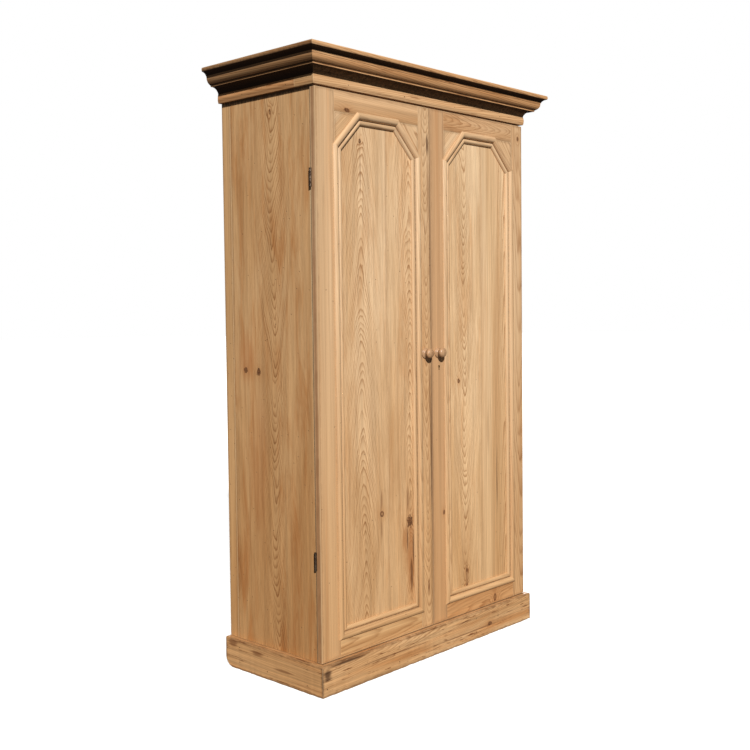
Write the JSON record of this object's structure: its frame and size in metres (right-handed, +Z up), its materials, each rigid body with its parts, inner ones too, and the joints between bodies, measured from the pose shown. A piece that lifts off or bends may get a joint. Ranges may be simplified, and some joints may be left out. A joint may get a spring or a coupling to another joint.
{
  "type": "armoire",
  "caption": "Pine armoire with panelled doors on butt hinges, canted panel mouldings, turned knobs, a moulded cornice and a plinth; hat shelf and hook rail inside",
  "frame": {"origin": "middle of the bounding box at floor level, under the plinth", "axes": "+X to the right of the front, +Y from the doors to the back, +Z up"},
  "size_m": [1.23, 0.524, 2],
  "materials": {
    "pine_frame": "satin",
    "pine_panel": "satin",
    "pine_moulding": "satin",
    "pine_side": "satin",
    "pine_cornice": "satin",
    "pine_plinth": "satin",
    "pine_knob": "polished",
    "pine_inside": "matte",
    "hinge_iron": "worn",
    "screw_iron": "worn",
    "lock_iron": "worn",
    "black_iron": "matte",
    "brass": "worn"
  },
  "bodies": {
    "carcass": {"back_board_1": "pine_inside", "back_board_2": "pine_inside", "back_board_3": "pine_inside", "back_board_4": "pine_inside", "back_board_5": "pine_inside", "bottom_board": "pine_inside", "coat_hooks": "black_iron", "cornice_front": "pine_cornice", "cornice_left": "pine_cornice", "cornice_right": "pine_cornice", "frieze_front": "pine_cornice", "frieze_left": "pine_cornice", "frieze_right": "pine_cornice", "hat_shelf": "pine_inside", "head_rail": "pine_inside", "hinge_pins": "hinge_iron", "hook_rail": "pine_inside", "left_shelf_bearer": "pine_inside", "left_side_front_board": "pine_side", "left_side_hinge_leaves": "hinge_iron", "left_side_rear_board": "pine_side", "plinth_back_rail": "pine_inside", "plinth_front": "pine_plinth", "plinth_left": "pine_plinth", "plinth_packing_rail": "pine_inside", "plinth_right": "pine_plinth", "right_shelf_bearer": "pine_inside", "right_side_front_board": "pine_side", "right_side_hinge_leaves": "hinge_iron", "right_side_rear_board": "pine_side", "side_hinge_screws": "screw_iron", "top_board": "pine_inside", "top_front_rail": "pine_frame"},
    "left_door": {"bolt_cases": "lock_iron", "left_door_bottom_rail": "pine_frame", "left_door_corner_blocks": "pine_frame", "left_door_hinge_leaves": "hinge_iron", "left_door_hinge_screws": "screw_iron", "left_door_hinge_stile": "pine_frame", "left_door_knob": "pine_knob", "left_door_meeting_stile": "pine_frame", "left_door_panel": "pine_panel", "left_door_panel_moulding": "pine_moulding", "left_door_top_rail": "pine_frame", "strike_plate": "brass"},
    "right_door": {"lock_case": "lock_iron", "right_door_bottom_rail": "pine_frame", "right_door_corner_blocks": "pine_frame", "right_door_hinge_leaves": "hinge_iron", "right_door_hinge_screws": "screw_iron", "right_door_hinge_stile": "pine_frame", "right_door_knob": "pine_knob", "right_door_meeting_stile": "pine_frame", "right_door_panel": "pine_panel", "right_door_panel_moulding": "pine_moulding", "right_door_top_rail": "pine_frame"},
    "upper_bolt": {"upper_bolt": "lock_iron"},
    "lower_bolt": {"lower_bolt": "lock_iron"},
    "lock_bolt": {"lock_bolt": "brass"}
  },
  "joints": [
    {"name": "left_door_hinge", "type": "hinge", "parent": "carcass", "child": "left_door", "pos_m": [-0.541, -0.16925, 1], "axis": [0, 0, -1], "range_deg": [0, 180]},
    {"name": "right_door_hinge", "type": "hinge", "parent": "carcass", "child": "right_door", "pos_m": [0.541, -0.16925, 1], "axis": [0, 0, 1], "range_deg": [0, 180]},
    {"name": "upper_bolt_slide", "type": "slide", "parent": "left_door", "child": "upper_bolt", "axis": [0, 0, 1], "range_m": [0, 0.012]},
    {"name": "lower_bolt_slide", "type": "slide", "parent": "left_door", "child": "lower_bolt", "axis": [0, 0, -1], "range_m": [0, 0.012]},
    {"name": "lock_bolt_slide", "type": "slide", "parent": "right_door", "child": "lock_bolt", "axis": [-1, 0, 0], "range_m": [0, 0.008]}
  ]
}
